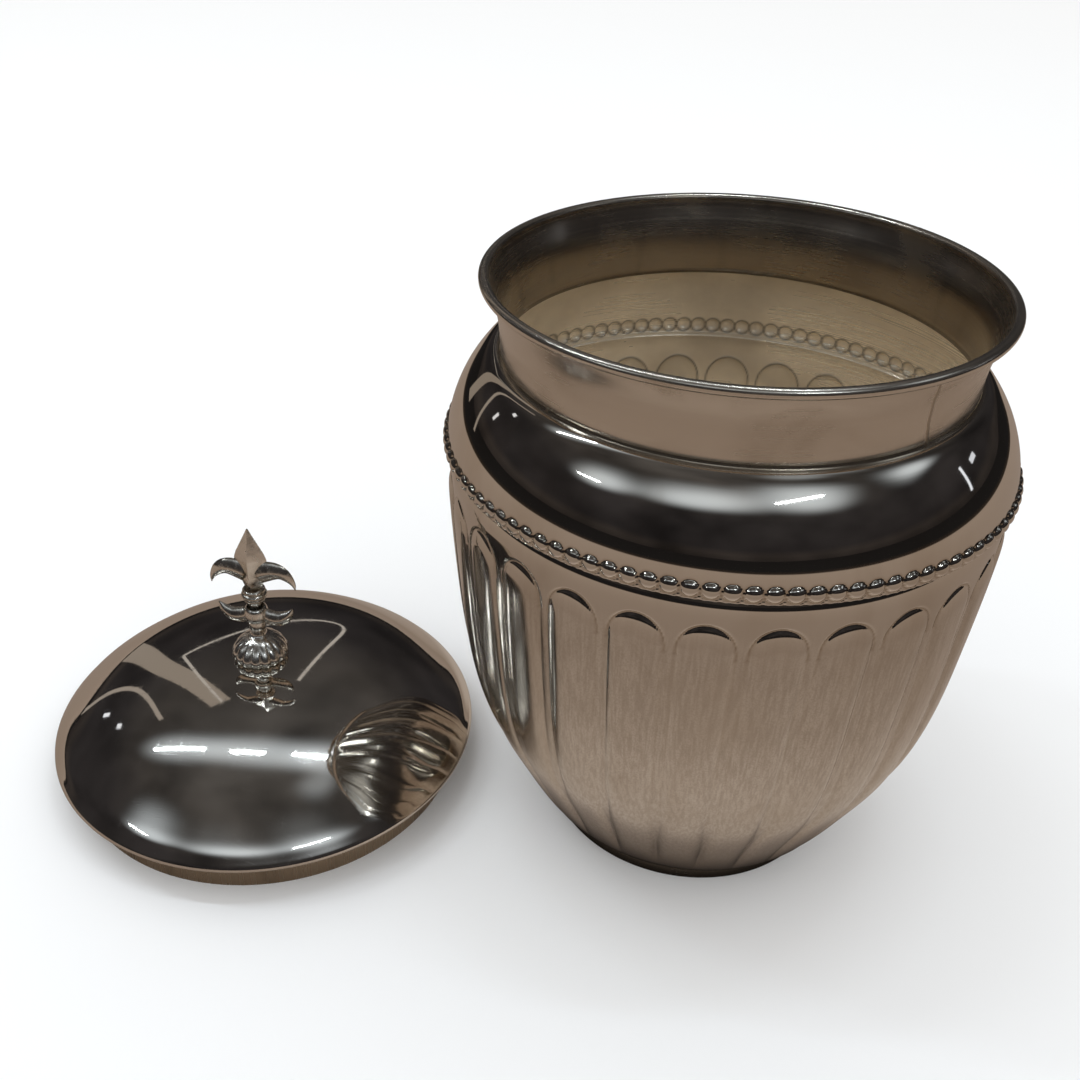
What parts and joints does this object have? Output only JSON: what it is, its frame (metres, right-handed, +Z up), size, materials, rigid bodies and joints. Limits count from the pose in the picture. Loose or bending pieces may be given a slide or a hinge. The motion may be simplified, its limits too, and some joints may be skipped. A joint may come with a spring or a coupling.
{
  "type": "lidded jar",
  "caption": "Gadrooned and beaded metal jar on a ring foot with a rolled rim, and its domed lid with a fleur-de-lis finial lying beside it.",
  "frame": {"origin": "centre of the jar's foot, on the surface it stands on", "axes": "+Z up along the jar's axis, +X from the lid towards the jar, -Y towards the front"},
  "size_m": [0.4165, 0.234, 0.257],
  "materials": {
    "embossed_body": "nickel plate, mirror polished on the shoulder and satin with a fine grain on the gadroons",
    "satin_neck": "nickel plate, satin, brushed round",
    "steel_wire": "plain drawn wire",
    "satin_foot": "nickel plate, satin, slightly stained",
    "polished_dome": "nickel plate, mirror polished with hair scratches",
    "brushed_flange": "nickel plate, brushed across the band",
    "cast_finial": "cast, buffed and nickel plated",
    "plated_fastener": "plain nickel plate"
  },
  "bodies": {
    "jar": {"body_wall": "embossed_body", "neck_collar": "satin_neck", "rim_wire": "steel_wire", "foot_ring": "satin_foot", "base_disc": "satin_foot"},
    "lid": {"lid_dome": "polished_dome", "lid_flange": "brushed_flange", "finial_mound": "cast_finial", "finial_stem": "cast_finial", "leaf_pair": "cast_finial", "collar_band": "cast_finial", "fleur_de_lis": "cast_finial", "finial_washer": "plated_fastener", "finial_nut": "plated_fastener"}
  },
  "joints": [
    {"name": "lid_lift", "type": "slide", "parent": "jar", "child": "lid", "axis": [-0.104, -0.0106, 0.9945], "range_m": [0, 0.3]}
  ]
}
